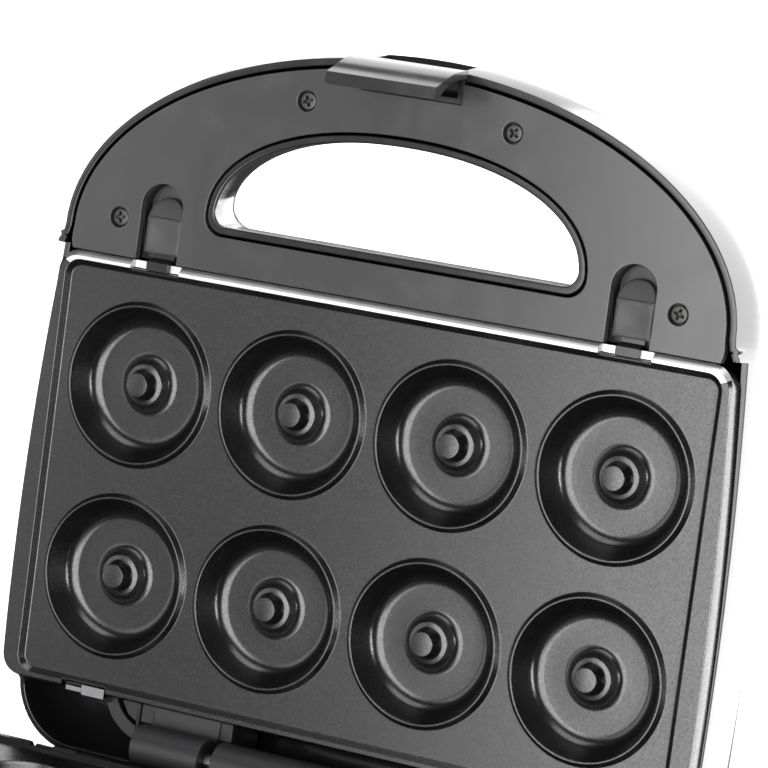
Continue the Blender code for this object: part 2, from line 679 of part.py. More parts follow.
def make_lid_fittings(frame):
    """Latch clip and pin, lights, thermostat."""
    section = [(206.6, 7.4), (209.0, 5.2), (210.2, 1.5), (210.3, -2.5), (209.6, -7.5), (208.2, -12),
               (206.4, -16), (205.2, -19.2), (201.9, -19.4), (201.5, -17.0), (203.2, -15.4),
               (204.9, -13.2), (206.6, -9.5), (207.6, -5.5), (207.9, -1.5), (207.2, 1.6),
               (205.6, 2.4), (203.6, 3.0), (202.7, 4.6), (203.0, 6.4), (204.4, 7.6)]
    centred = [(v - CLIP_PIVOT[0], w - CLIP_PIVOT[1]) for v, w in section]
    hood = slab("clip", centred, -CLIP_HALF, CLIP_HALF, section=True)
    clip = add_object("latch_clip", hood, BLACK, frame)
    clip.location = place((0, *CLIP_PIVOT))
    for side, name in ((-1, "left"), (1, "right")):
        ends = sorted((side * CLIP_NECK, side * 25))
        shoulder = box("shoulder", ends, (190, 220), (CLIP_NECK_W, 20))
        boolean(clip, add_object("latch_clip_shoulder_" + name, shoulder, None, frame))
    bore = [(0, 20), (CLIP_PIN_R + GAP, 20), (CLIP_PIN_R + GAP, -20), (0, -20)]
    bore = rod("bore", bore, (0, *CLIP_PIVOT), "x", 10)
    boolean(clip, add_object("latch_clip_bore", bore, None, frame))
    reach = CLIP_BAY["lid"][0] + 1.0
    pin = [(0, reach), (CLIP_PIN_R, reach), (CLIP_PIN_R, -reach), (0, -reach)]
    pin = rod("pin", pin, (0, *CLIP_PIVOT), "x", 10)
    add_object("latch_clip_pin", pin, STEEL, frame)
    lens = [(0, 39.2), (2.2, 38.9), (3.9, 38), (3.9, 35.4), (5.6, 35.4), (5.6, 34), (0, 34)]
    lamp = [(0, 33.6), (1.6, 33.2), (2.2, 32), (2.2, 25), (0, 25)]
    lens, lamp = turned("lens", lens, 16), turned("lamp", lamp, 10)
    lights = (("power", RED_LENS), ("ready", GREEN_LENS))
    for spot, (name, material) in zip(pair(LIGHT_X, LIGHT_V), lights):
        add_object(name + "_light_lens", copies("lens", lens, [spot]), material, frame)
        add_object(name + "_lamp", copies("lamp", lamp, [spot]), CERAMIC, frame)


def make_thermostat(half, frame):
    form = [(0, 29), (6.0, 29), (6.0, 26), (8.2, 26), (8.2, 22.5), (0, 22.5)]
    mesh = copies("thermostat", turned("thermostat", form, 16), [(0, PLATE_CENTRE_V, 0)])
    add_object(half + "_thermostat", mesh, CERAMIC, frame)


def make_base_fittings(frame):
    """Feet, cord inlet gland, terminal block and thermal fuse."""
    top = HALF_HEIGHT + GAP
    foot = [(0, top + FOOT_HEIGHT), (6.2, top + FOOT_HEIGHT), (7.0, top + FOOT_HEIGHT - 0.8), (7.6, top),
            (2.5, top), (2.5, 34), (0, 34)]
    form = turned("foot", foot, 12)
    for row, v in FEET:
        for spot, name in zip(pair(FOOT_X, v), sides("base")):
            add_object(f"foot_{row}_{name}", copies("foot", form, [spot]), RUBBER, frame)
    gland = [(4.5, 5.5), (4.5, -2.2), (6.6, -2.2), (6.6, -3.4), (5.6, -4.4), (3.3, -4.4), (3.3, 5.5)]
    gland = rod("gland", gland, (-CORD_X, REAR_V, CORD_W), "v", 16, closed=True)
    add_object("cord_inlet_gland", gland, RUBBER, frame)
    block = box("terminals", (-CORD_X - 12, -CORD_X + 12), (20, 33), (26, 35.4))
    add_object("terminal_block", block, CERAMIC, frame)
    fuse = rod("fuse", [(0, 7), (1.6, 6.6), (2.0, 5.6), (2.0, -5.6), (1.6, -6.6), (0, -7)],
               (24, PLATE_CENTRE_V, 25), "x", 10)
    add_object("thermal_fuse", fuse, ALUMINIUM, frame)


def make_hinge_pins(frame):
    for side, name in zip((-1, 1), sides("base")):
        pin = rod("pin", [(0, 20.5), (PIN_R - .4, 20.5), (PIN_R, 20), (PIN_R, -20), (PIN_R - .4, -20.5),
                          (0, -20.5)], (side * 40.0, 0, 0), "x", 12)
        add_object("hinge_pin_" + name, pin, STEEL, frame)


def half_frame(name, turn):
    """An empty on the hinge axis that carries one half."""
    empty = bpy.data.objects.new(name, None)
    PARTS.objects.link(empty)
    empty.location = (0, HINGE_Y * MM, HINGE_Z * MM)
    empty.rotation_euler = turn
    return empty


def main():
    frames = {"base": half_frame("base_frame", (0, math.pi, 0)),
              "lid": half_frame("lid_frame", (-math.radians(OPEN_DEG), 0, 0))}
    for half, frame in frames.items():
        shell = make_shell(half, frame)
        if half == "lid":
            finish_lid_shell(shell, frame)
            make_lid_fittings(frame)
        else:
            finish_base_shell(shell, frame)
            make_base_fittings(frame)
            make_hinge_pins(frame)
        make_cover(half, frame)
        make_plate(half, frame)
        make_heating(half, frame)
        make_releases(half, frame)
        make_screws(half, frame)
        make_thermostat(half, frame)


main()
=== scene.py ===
"""Ring-cake maker with its lid swung open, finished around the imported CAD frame.

Pieces are drawn in one half's own frame, in millimetres: x across, v from the hinge axis towards
the handle, w outwards from the plane where the two halves meet. HALVES places it on its body.
"""
import json
import math

import bmesh
import bpy
from mathutils import Matrix, Vector


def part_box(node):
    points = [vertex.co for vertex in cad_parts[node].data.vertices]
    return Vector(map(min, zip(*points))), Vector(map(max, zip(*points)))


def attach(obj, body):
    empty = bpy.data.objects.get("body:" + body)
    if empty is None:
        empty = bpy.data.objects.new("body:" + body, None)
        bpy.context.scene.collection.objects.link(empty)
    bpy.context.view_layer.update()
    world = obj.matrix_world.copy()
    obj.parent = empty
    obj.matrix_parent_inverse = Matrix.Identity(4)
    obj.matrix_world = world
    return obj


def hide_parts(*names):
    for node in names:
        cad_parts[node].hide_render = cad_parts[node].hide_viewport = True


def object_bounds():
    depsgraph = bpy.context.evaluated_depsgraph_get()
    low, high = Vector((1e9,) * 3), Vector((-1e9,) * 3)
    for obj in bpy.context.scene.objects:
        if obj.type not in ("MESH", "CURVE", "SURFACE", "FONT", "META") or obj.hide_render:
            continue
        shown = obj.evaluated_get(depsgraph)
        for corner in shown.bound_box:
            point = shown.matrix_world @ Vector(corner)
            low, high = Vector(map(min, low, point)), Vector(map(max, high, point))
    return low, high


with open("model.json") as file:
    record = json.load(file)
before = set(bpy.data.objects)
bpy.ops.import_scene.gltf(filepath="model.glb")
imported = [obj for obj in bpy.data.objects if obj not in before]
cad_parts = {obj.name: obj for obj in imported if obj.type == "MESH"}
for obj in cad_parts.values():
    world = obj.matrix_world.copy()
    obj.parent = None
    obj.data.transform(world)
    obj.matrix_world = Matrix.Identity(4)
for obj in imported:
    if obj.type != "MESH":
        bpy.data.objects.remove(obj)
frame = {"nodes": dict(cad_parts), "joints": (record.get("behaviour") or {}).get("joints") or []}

cad_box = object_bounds()

MM = 0.001
SEAM = 0.25                     # each half stays this far from the meeting plane
SIDES = {"lid": ("left", "right"), "base": ("right", "left")}   # at -x and +x of the half frame

# Shell: v, w and x sizes of one half, both halves alike
HALF_HEIGHT, HANDLE_HEIGHT = 38.0, 22.0
SLOPE_START, SLOPE_END = 136.0, 168.0
WALL, SIDE_BULGE, EDGE_ROUND = 2.2, 1.18, 15.0
REAR_V, REAR_CORNER = -9.7, 20.0
SIDE_WIDEST, SIDE_CURVE, SIDE_MIDDLE = 114.3, 0.00045, 55.0
SHOULDER_V, SHOULDER_FADE = 142.4, 9.0
ARCH_V, ARCH_HALF_WIDTH, ARCH_RISE, ARCH_STEPS = 148.0, 108.8, 62.0, 30
RIM_DEPTH, REAR_RIM_DEPTH = 5.3, 14.9
HOLE_HALF_WIDTH, HOLE_V, HOLE_RISE, HOLE_CORNER, HOLE_POWER = 62.0, 158.0, 31.0, 6.0, 2.15
HOLE_LIP, HOLE_WALL = 3.0, 2.2
FLARE_W, FLARE_SIDE, FLARE_REAR, FLARE_FRONT = 4.0, 14.0, 3.5, 5.0

# Plate, its notches over the hooks and releases, and its wells
PLATE_V0, PLATE_V1 = 12.5, 139.5
PLATE_WIDEST, PLATE_CURVE, PLATE_MIDDLE = 112.6, 0.00051, 50.0
PLATE_EDGE, FIELD_W, PLATE_SKIN = 4.9, 1.75, 1.7
RIM_HALF_WIDTH, FIELD_HALF_WIDTH = 107.0, 105.5
STEP, HOOK_NOTCH, RELEASE_NOTCH = 0.12, 7.6, 8.2
PITCH_X, PITCH_V, PLATE_CENTRE_V = 52.0, 57.25, 76.0
WELL_DEPTH, WELL_STEPS = 7.7, 72

# Handle cover, its release pockets and the blocks in them
COVER_V0, COVER_LOW = 141.5, 2.65
COVER_HALF, TUB_WALL = 105.4, 1.6
RELEASE_X, POCKET_HALF, POCKET_ROUND_V, POCKET_DEPTH = 76.6, 7.0, 157.5, 6.3
BLOCK_HALF, BLOCK_REACH, BLOCK_FOOT, HEAD_V = 5.9, 5.35, 5.8, 154.5
HOOK_X = 83.0
SCREWS = ((33.3, 194.9), (90.8, 152.7))

# Hinge, clip and lights
BARREL_R = 6.5
LID_KNUCKLE, BASE_KNUCKLE = (38.0, 61.0), (15.0, 33.7)
CLIP_HALF, CLIP_NECK, CLIP_NECK_W = 17.5, 13.4, -0.6
CLIP_BAY = {"lid": (14.6, 202.2, 12.0), "base": (18.9, 199.9, 21.0)}    # half width, v, w
BAY_WALL, BAY_ROOF = 1.6, 0.8
LIGHT_X, LIGHT_V, LIGHT_BORE = 13.0, 112.0, 4.3

hinge = next(joint for joint in frame["joints"] if joint["name"] == "lid_hinge")
AXIS = Matrix.Translation(Vector(hinge["pos_m"]))
OPEN_ANGLE = math.radians(hinge["range_deg"][0])
HALVES = {"base": AXIS @ Matrix.Rotation(math.pi, 4, "Y"),
          "lid": AXIS @ Matrix.Rotation(OPEN_ANGLE, 4, "X")}


# ---------------------------------------------------------------- shader sums

def sum_of(operation):
    """An operator and its reflected form, each adding one Math node."""
    def forward(self, other):
        return self.finish.sum(operation, self, other)

    def reflected(self, other):
        return self.finish.sum(operation, other, self)
    return forward, reflected


class Value:
    """A number, colour or vector that varies over a surface: a node's output socket."""

    def __init__(self, finish, socket):
        self.finish = finish
        self.socket = socket

    __add__, __radd__ = sum_of("ADD")
    __sub__, __rsub__ = sum_of("SUBTRACT")
    __mul__, __rmul__ = sum_of("MULTIPLY")

    def step(self, low, high):
        """0 below low, 1 above high, smooth between."""
        return self.finish.node("ShaderNodeMapRange", {"interpolation_type": "SMOOTHSTEP"},
                                {"Value": self, "From Min": low, "From Max": high})


class Finish:
    """A material under construction, on one Principled shader."""

    def __init__(self, name, colour, roughness, **sockets):
        self.material = bpy.data.materials.new(name)
        self.material.use_nodes = True
        self.tree = self.material.node_tree
        self.shader = self.tree.nodes["Principled BSDF"]
        self.shader.inputs["Base Color"].default_value = (*colour, 1)
        self.shader.inputs["Roughness"].default_value = roughness
        for name, number in sockets.items():
            self.shader.inputs[name.replace("_", " ")].default_value = number
        self.place = self.node("ShaderNodeTexCoord", output="Object")

    def node(self, kind, settings=(), sockets=(), output=0):
        made = self.tree.nodes.new(kind)
        for name, setting in dict(settings).items():
            setattr(made, name, setting)
        for name, value in dict(sockets).items():
            self.feed(made.inputs[name], value)
        return Value(self, made.outputs[output])

    def feed(self, socket, value):
        if isinstance(value, Value):
            self.tree.links.new(value.socket, socket)
        else:
            socket.default_value = value

    def sum(self, operation, first, second):
        return self.node("ShaderNodeMath", {"operation": operation}, {0: first, 1: second})

    def noise(self, size, detail=2.0, stretch=None):
        """Cloudy noise from 0 to 1 whose lumps are about size millimetres across."""
        place = self.place
        if stretch:
            place = self.node("ShaderNodeVectorMath", {"operation": "MULTIPLY"}, {0: place, 1: stretch})
        return self.node("ShaderNodeTexNoise", {},
                         {"Vector": place, "Scale": 1 / (size * MM), "Detail": detail})

    def cells(self, size):
        """Flat cells about size millimetres across, each with its own number from 0 to 1."""
        cell = self.node("ShaderNodeTexVoronoi", {},
                         {"Vector": self.place, "Scale": 1 / (size * MM)}, "Color")
        return self.node("ShaderNodeSeparateColor", {}, {"Color": cell})

    def between(self, amount, low, high):
        """A colour from low to high."""
        return self.node("ShaderNodeMix", {"data_type": "RGBA"},
                         {"Factor": amount, 6: (*low, 1), 7: (*high, 1)}, 2)

    def drive(self, **values):
        for name, value in values.items():
            self.feed(self.shader.inputs[name.replace("_", " ")], value)
        return self

    def bump(self, height, depth):
        """Relief: height runs from 0 to 1 over a depth in millimetres."""
        normal = self.node("ShaderNodeBump", {}, {"Height": height, "Distance": depth * MM})
        return self.drive(Normal=normal)


# ---------------------------------------------------------------- finishes

def shade(colour, amount):
    return tuple(channel * amount for channel in colour)


def moulded(name, colour, roughness, grain=0.5, relief=0.004, wave=0.03, level=0.5):
    """Injection-moulded plastic: faint flow marks, a soft waviness and a fine grain."""
    finish = Finish(name, colour, roughness, Specular_IOR_Level=level)
    flow = finish.noise(38, 3, (1.0, 0.45, 1.0))
    fine = finish.noise(grain, 3)
    handled = finish.noise(9, 4).step(0.42, 0.78)
    tone = flow * 0.7 + fine * 0.3
    finish.drive(Base_Color=finish.between(tone, shade(colour, 0.82), shade(colour, 1.2)),
                 Roughness=roughness + handled * 0.05 + fine * 0.05)
    return finish.bump(flow * (wave / relief) + fine, relief)


def non_stick(name, colour, roughness, metallic):
    """Sprayed non-stick coating: charcoal with a fine sandy grain and small bright flecks."""
    finish = Finish(name, colour, roughness, Metallic=metallic)
    grain = finish.noise(0.55, 3)
    flecks = finish.cells(0.42)
    cloud = finish.noise(26, 2)
    tone = grain * 0.55 + flecks * 0.3 + cloud * 0.15
    finish.drive(Base_Color=finish.between(tone, shade(colour, 0.62), shade(colour, 1.42)),
                 Roughness=roughness + grain * 0.1 - flecks * 0.05)
    return finish.bump(grain + flecks * 0.3, 0.006)


def metal(name, colour, roughness, lay=(1.0, 14.0, 14.0), size=6.0):
    """Bare metal with a directional grain and cloudy handling marks."""
    finish = Finish(name, colour, roughness, Metallic=1.0)
    grain = finish.noise(size, 4, lay)
    cloud = finish.noise(5, 3)
    tone = cloud * 0.6 + grain * 0.4
    finish.drive(Base_Color=finish.between(tone, shade(colour, 0.8), shade(colour, 1.08)),
                 Roughness=roughness + grain * 0.14 + cloud * 0.06)
    return finish.bump(grain, 0.004)


def matt(name, colour, roughness, size, relief):
    """Rubber and fired ceramic: an even, slightly pitted skin."""
    finish = Finish(name, colour, roughness)
    pits = finish.noise(size, 4)
    cloud = finish.noise(size * 8, 2)
    tone = pits * 0.5 + cloud * 0.5
    finish.drive(Base_Color=finish.between(tone, shade(colour, 0.75), shade(colour, 1.15)),
                 Roughness=roughness + pits * 0.12)
    return finish.bump(pits, relief)


def lens(name, colour):
    """Tinted clear plastic over a small lamp, with a faint glow from behind it."""
    finish = Finish(name, colour, 0.08, Coat_Weight=0.6, Coat_Roughness=0.05, Emission_Strength=0.35)
    flutes = finish.noise(1.1, 2)
    glow = finish.between(flutes, shade(colour, 0.25), shade(colour, 0.9))
    finish.drive(Base_Color=finish.between(flutes, shade(colour, 0.7), shade(colour, 1.2)),
                 Emission_Color=glow, Roughness=0.06 + flutes * 0.08)
    return finish.bump(flutes, 0.02)


def annealed(name, colour):
    """Sheathed heating tube, browned and mottled by heat."""
    finish = Finish(name, colour, 0.5, Metallic=1.0)
    stain = finish.noise(7, 4)
    finish.drive(Base_Color=finish.between(stain.step(0.3, 0.7), colour, (0.2, 0.13, 0.1)),
                 Roughness=0.42 + stain * 0.2)
    return finish.bump(finish.noise(0.6, 3), 0.01)


FINISHES = {
    "gloss_black": moulded("gloss_black_plastic", (0.016, 0.016, 0.017), 0.15, level=0.75),
    "gloss_grey": moulded("gloss_grey_plastic", (0.045, 0.045, 0.046), 0.17, level=0.75),
    "satin_grey": moulded("satin_grey_plastic", (0.05, 0.05, 0.052), 0.4, 0.3, 0.01),
    "satin_black": moulded("satin_black_plastic", (0.022, 0.022, 0.024), 0.4, 0.35, 0.012),
    "non_stick_coating": non_stick("non_stick_coating", (0.083, 0.082, 0.083), 0.22, 0.96),
    # Pale bare metal, lighter than the coating, used only along the plate's front edge: partly the cast edge,
    # partly a painted highlight where the bevel catches the light.
    "bare_edge_painted_highlight": metal("bare_cast_edge_painted_highlight", (0.86, 0.86, 0.87), 0.3, (9.0, 9.0, 9.0), 1.2),
    "bright_steel": metal("bright_steel", (0.3, 0.3, 0.31), 0.3),
    "dark_steel": metal("blackened_steel", (0.1, 0.098, 0.096), 0.36, (6.0, 6.0, 6.0), 1.5),
    "aluminium_sheet": metal("aluminium_sheet", (0.78, 0.78, 0.79), 0.28),
    "element_sheath": annealed("element_sheath", (0.27, 0.24, 0.22)),
    "black_rubber": matt("black_rubber", (0.02, 0.02, 0.021), 0.7, 0.6, 0.02),
    "white_ceramic": matt("white_ceramic", (0.74, 0.72, 0.68), 0.38, 1.4, 0.02),
    "red_lens": lens("red_lens", (0.55, 0.025, 0.02)),
    "green_lens": lens("green_lens", (0.03, 0.38, 0.08)),
    "neon_lamp_glass": lens("neon_lamp_glass", (0.75, 0.55, 0.42)),
}


# ---------------------------------------------------------------- mesh making

class Form:
    """A mesh drawn in the half frame, in millimetres."""

    def __init__(self):
        self.bm = bmesh.new()
        self.cap = self.bm.faces.layers.int.new("cap")

    def point(self, x, v, w):
        return self.bm.verts.new((x, -v, w))

    def line(self, points):
        return [self.point(*point) for point in points]

    def skin(self, lines, closed=True, finish=0):
        """Quads between neighbouring lines, each listed along the profile."""
        pairs = list(zip(lines, lines[1:] + lines[:1])) if closed else list(zip(lines, lines[1:]))
        for first, second in pairs:
            for a, b, c, d in zip(first, first[1:], second[1:], second):
                face = self.bm.faces.new([vert for i, vert in enumerate((a, b, c, d))
                                          if vert not in (a, b, c, d)[:i]])
                face.material_index = finish
        return lines

    def fill(self, loops, finish=0, cap=0):
        """Triangles inside the first loop and outside the others."""
        edges = []
        for loop in loops:
            for a, b in zip(loop, loop[1:] + loop[:1]):
                edges.append(self.bm.edges.get((a, b)) or self.bm.edges.new((a, b)))
        made = bmesh.ops.triangle_fill(self.bm, use_beauty=True, edges=edges, normal=(0, 0, 1))
        for face in made["geom"]:
            if isinstance(face, bmesh.types.BMFace):
                face.material_index = finish
                face[self.cap] = cap

    def turn(self, profile, centre=(0, 0), steps=48, start_open=False, finish=0):
        """A profile of (radius, w) turned about the w axis. An end at radius 0 closes to a point."""
        ends = {i: self.point(*centre, w) for i, (r, w) in enumerate(profile) if r == 0}
        lines = []
        for k in range(steps):
            angle = 2 * math.pi * k / steps
            x, v = math.cos(angle), math.sin(angle)
            lines.append([ends.get(i) or self.point(centre[0] + r * x, centre[1] + r * v, w)
                          for i, (r, w) in enumerate(profile)])
        self.skin(lines, finish=finish)
        if not start_open and 0 not in ends:
            self.fill([[line[0] for line in lines]], finish)
        return [line[0] for line in lines]

    def slab(self, outer, holes=(), low=SEAM, high=COVER_LOW, edge=0.3, finish=0):
        """A flat sheet from low to high with an outline and holes, its edges rounded on the low side."""
        tops, feet = [], []
        for sign, outline in [(-1, outer)] + [(1, hole) for hole in holes]:
            shifted = offset(outline, sign * edge)
            lines = []
            for (x, v), (x1, v1) in zip(outline, shifted):
                corners = [((x, v, high), 0), ((x, v, low), edge), ((x1, v1, low), 0)]
                lines.append(self.line(rounded(corners, 3)))
            self.skin(lines, finish=finish)
            feet.append([line[0] for line in lines])
            tops.append([line[-1] for line in lines])
        self.fill(tops, finish)
        self.fill(feet, finish)

    def bar(self, section, x0, x1, edge=0.4, finish=0):
        """A (v, w) section drawn out along x, its ends rounded."""
        inner = offset(section, -edge)
        lines = []
        for (v, w), (v1, w1) in zip(section, inner):
            corners = [((x0, v1, w1), 0), ((x0, v, w), edge), ((x1, v, w), edge), ((x1, v1, w1), 0)]
            lines.append(self.line(rounded(corners, 3)))
        self.skin(lines, finish=finish)
        for end in (0, -1):
            face = self.bm.faces.new([line[end] for line in lines])
            face.material_index = finish
            bmesh.ops.triangulate(self.bm, faces=[face])

    def piece(self, name, half, body, finishes, stands_for=(), sharp=42, thick=0.0, bevel=0.0):
        """Turn the drawing into a finished object, in place and riding on its body."""
        bmesh.ops.remove_doubles(self.bm, verts=self.bm.verts, dist=0.004)
        bmesh.ops.recalc_face_normals(self.bm, faces=self.bm.faces)
        self.bm.faces.layers.int.remove(self.cap)
        self.bm.transform(Matrix.Scale(MM, 4))
        mesh = bpy.data.meshes.new(name)
        self.bm.to_mesh(mesh)
        self.bm.free()
        mesh.transform(HALVES[half])
        mesh.shade_smooth()
        mesh.set_sharp_from_angle(angle=math.radians(sharp))
        for finish in finishes:
            mesh.materials.append(FINISHES[finish].material)
        item = bpy.data.objects.new(name, mesh)
        bpy.context.scene.collection.objects.link(item)
        if thick:
            sheet = item.modifiers.new("thickness", "SOLIDIFY")
            sheet.thickness = thick * MM
            sheet.offset = -1
            sheet.use_even_offset = True
        if bevel:
            rounding = item.modifiers.new("rounded_edges", "BEVEL")
            rounding.width = bevel * MM
            rounding.segments = 3
            rounding.limit_method = "ANGLE"
            rounding.angle_limit = math.radians(48)
        weighted = item.modifiers.new("even_shading", "WEIGHTED_NORMAL")
        weighted.keep_sharp = True
        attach(item, body)
        if stands_for:
            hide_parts(*stands_for)


def arc(centre, radius, start, end, steps):
    points = []
    for i in range(steps + 1):
        angle = math.radians(start + (end - start) * i / steps)
        points.append((centre[0] + radius * math.cos(angle), centre[1] + radius * math.sin(angle)))
    return points


def mirrored(right):
    """A closed outline from its right half, listed from the rear centre to the front centre."""
    return right + [(-x, v) for x, v in reversed(right) if abs(x) > 1e-6]


def offset(outline, distance):
    """Each point of an anticlockwise outline moved outwards."""
    moved = []
    for i, (x, v) in enumerate(outline):
        before, after = Vector(outline[i - 1]), Vector(outline[(i + 1) % len(outline)])
        along = (after - before).normalized()
        moved.append((x + along.y * distance, v - along.x * distance))
    return moved


def rounded(corners, steps=4):
    """A line through (point, radius) corners, each corner with a radius turned into an arc."""
    line = []
    for i, (point, radius) in enumerate(corners):
        here = Vector(point)
        if not radius:
            line.append(tuple(here))
            continue
        back, ahead = Vector(corners[i - 1][0]) - here, Vector(corners[i + 1][0]) - here
        if min(back.length, ahead.length) < 1e-5 or math.pi - back.angle(ahead) < 0.01:
            line += [tuple(here)] * (steps + 1)
            continue
        half_angle = back.angle(ahead) / 2
        reach = min(radius / math.tan(half_angle), back.length * 0.48, ahead.length * 0.48)
        start, end = here + back.normalized() * reach, here + ahead.normalized() * reach
        middle = (back.normalized() + ahead.normalized()).normalized()
        centre = here + middle * (reach / math.cos(half_angle))
        sweep = math.pi - 2 * half_angle
        for k in range(steps + 1):
            share = k / steps
            turned = ((start - centre) * math.sin((1 - share) * sweep)
                      + (end - centre) * math.sin(share * sweep))
            line.append(tuple(centre + turned / math.sin(sweep)))
    return line


def spread(start, end, count):
    """Points from start up to but not including end."""
    return [tuple(a + (b - a) * i / count for a, b in zip(start, end)) for i in range(count)]


def smoothed(outline, corners=(), steps=3):
    """A closed curve through an outline's points, keeping the listed corners sharp."""
    points, count = [], len(outline)
    for i in range(count):
        a, b, c, d = (Vector(outline[(i + k) % count]) for k in (-1, 0, 1, 2))
        if i in corners:
            a = b
        if (i + 1) % count in corners:
            d = c
        for k in range(steps):
            t = k / steps
            points.append(tuple(0.5 * (2 * b + (c - a) * t + (2 * a - 5 * b + 4 * c - d) * t * t
                                       + (3 * b - a - 3 * c + d) * t ** 3)))
    return points


def pair(x, v):
    return [(-x, v), (x, v)]


# ---------------------------------------------------------------- plates

def plate_lines():
    """Outlines of the plate with matching points: foot, rim's outer edge, rim's inner edge, field."""
    def outline(low, high, side, corner, long_points):
        right = [(x, low) for x in long_points["rear"]]
        right += arc((side(low + corner) - corner, low + corner), corner, -90, 0, 8)
        right += [(side(v), v) for v in range(25, 131, 7)]
        right += arc((side(high - corner) - corner, high - corner), corner, 0, 90, 8)
        right += [(x, high) for x in long_points["front"]]
        return mirrored(right)

    def bowed(grow):
        return lambda v: PLATE_WIDEST + grow - PLATE_CURVE * (v - PLATE_MIDDLE) ** 2

    def notch(centre, half):
        left, right = centre - half, centre + half
        return [left - STEP, left + STEP, centre, right - STEP, right + STEP]

    rear = [0.0, 20.0, 40.0, 60.0] + notch(HOOK_X, HOOK_NOTCH)
    front = list(reversed([0.0, 15.0, 30.0, 45.0, 60.0] + notch(RELEASE_X, RELEASE_NOTCH) + [95.0]))
    points = {"rear": rear, "front": front}
    foot = outline(PLATE_V0 - 1.6, PLATE_V1 + 1.6, bowed(1.6), 7.6, points)
    top = outline(PLATE_V0, PLATE_V1, bowed(0.0), 6.0, points)
    rim = outline(PLATE_V0 + 1.3, PLATE_V1 - 1.2, lambda v: RIM_HALF_WIDTH, 5.0, points)
    field = outline(PLATE_V0 + 2.8, PLATE_V1 - 2.7, lambda v: FIELD_HALF_WIDTH, 3.6, points)
    return foot, top, rim, field


def well_profile():
    """Half section of a ring well, from the field in to the tip of its post."""
    floor = SEAM + WELL_DEPTH
    corners = [((25.4, FIELD_W), 0), ((24.55, FIELD_W), 0.45), ((23.5, 0.3), 0.4), ((22.85, 0.3), 0.4),
               ((22.45, 1.1), 0.8), ((18.6, floor), 4.6), ((13.2, floor), 0), ((7.95, floor), 4.8),
               ((6.1, 4.75), 0.35), ((4.5, 4.45), 0.6), ((3.55, 0.55), 0.3), ((0.0, 0.5), 0)]
    return rounded(corners, 7)


def make_plate(half):
    """Non-stick plate: cut edge, pale bare metal along the front as a painted highlight, raised rim, sunken
    field and eight ring wells.
    """
    form = Form()
    lines = []
    for (x0, v0), (x1, v1), (x2, v2), (x3, v3) in zip(*plate_lines()):
        front = min(max((v1 - 132.5) / 6.5, 0.0), 1.0)
        drop = SEAM + 0.35 + 1.1 * front
        reach = 0.2 + 0.8 * front
        bevel_x, bevel_v = x1 + (x0 - x1) * reach, v1 + (v0 - v1) * reach
        outer, low = (x1, v1, SEAM), (bevel_x, bevel_v, drop)
        across = abs(abs(x1) - (RELEASE_X if v1 > 100 else HOOK_X))
        if v1 > PLATE_V1 - 0.1 and across < RELEASE_NOTCH:
            outer, low = (x1, 138.55, 2.8), (x1, v0, 2.95)
        if v1 < PLATE_V0 + 0.1 and across < HOOK_NOTCH:
            outer, low = (x1, 13.6, 2.9), (x1, v0, 3.0)
        inset = (x3 * 0.985, PLATE_CENTRE_V + (v3 - PLATE_CENTRE_V) * 0.975, FIELD_W)
        corners = [((x0, v0, PLATE_EDGE), 0), (low, 0.25), (outer, 0.2), ((x2, v2, SEAM), 0.45),
                   ((x3, v3, FIELD_W), 0.7), (inset, 0)]
        lines.append(form.line(rounded(corners, 4)))
    form.skin(lines)
    # The front edge's faces take the pale bare metal, a painted highlight along the front only; the sides
    # keep the coating.
    for i, line in enumerate(lines):
        ahead = lines[(i + 1) % len(lines)]
        for k in (range(4, 11) if -line[7].co.y > 136.5 and line[7].co.x > -106.5 else ()):
            edge = form.bm.edges.get((line[k], ahead[k]))
            above = form.bm.edges.get((line[k + 1], ahead[k + 1])) if k + 1 < len(line) else None
            if edge and above:
                for face in set(edge.link_faces) & set(above.link_faces):
                    face.material_index = 1
    loops = [[line[-1] for line in lines]]
    for row in (-0.5, 0.5):
        for column in (-1.5, -0.5, 0.5, 1.5):
            centre = (PITCH_X * column, PLATE_CENTRE_V + PITCH_V * row)
            loops.append(form.turn(well_profile(), centre, WELL_STEPS, start_open=True))
    form.fill(loops)
    form.piece(half + "_plate_casting", half, half, ["non_stick_coating", "bare_edge_painted_highlight"],
               [half + "_plate"], thick=PLATE_SKIN)


# ---------------------------------------------------------------- shells

def shell_side(v):
    return SIDE_WIDEST - SIDE_CURVE * (v - SIDE_MIDDLE) ** 2


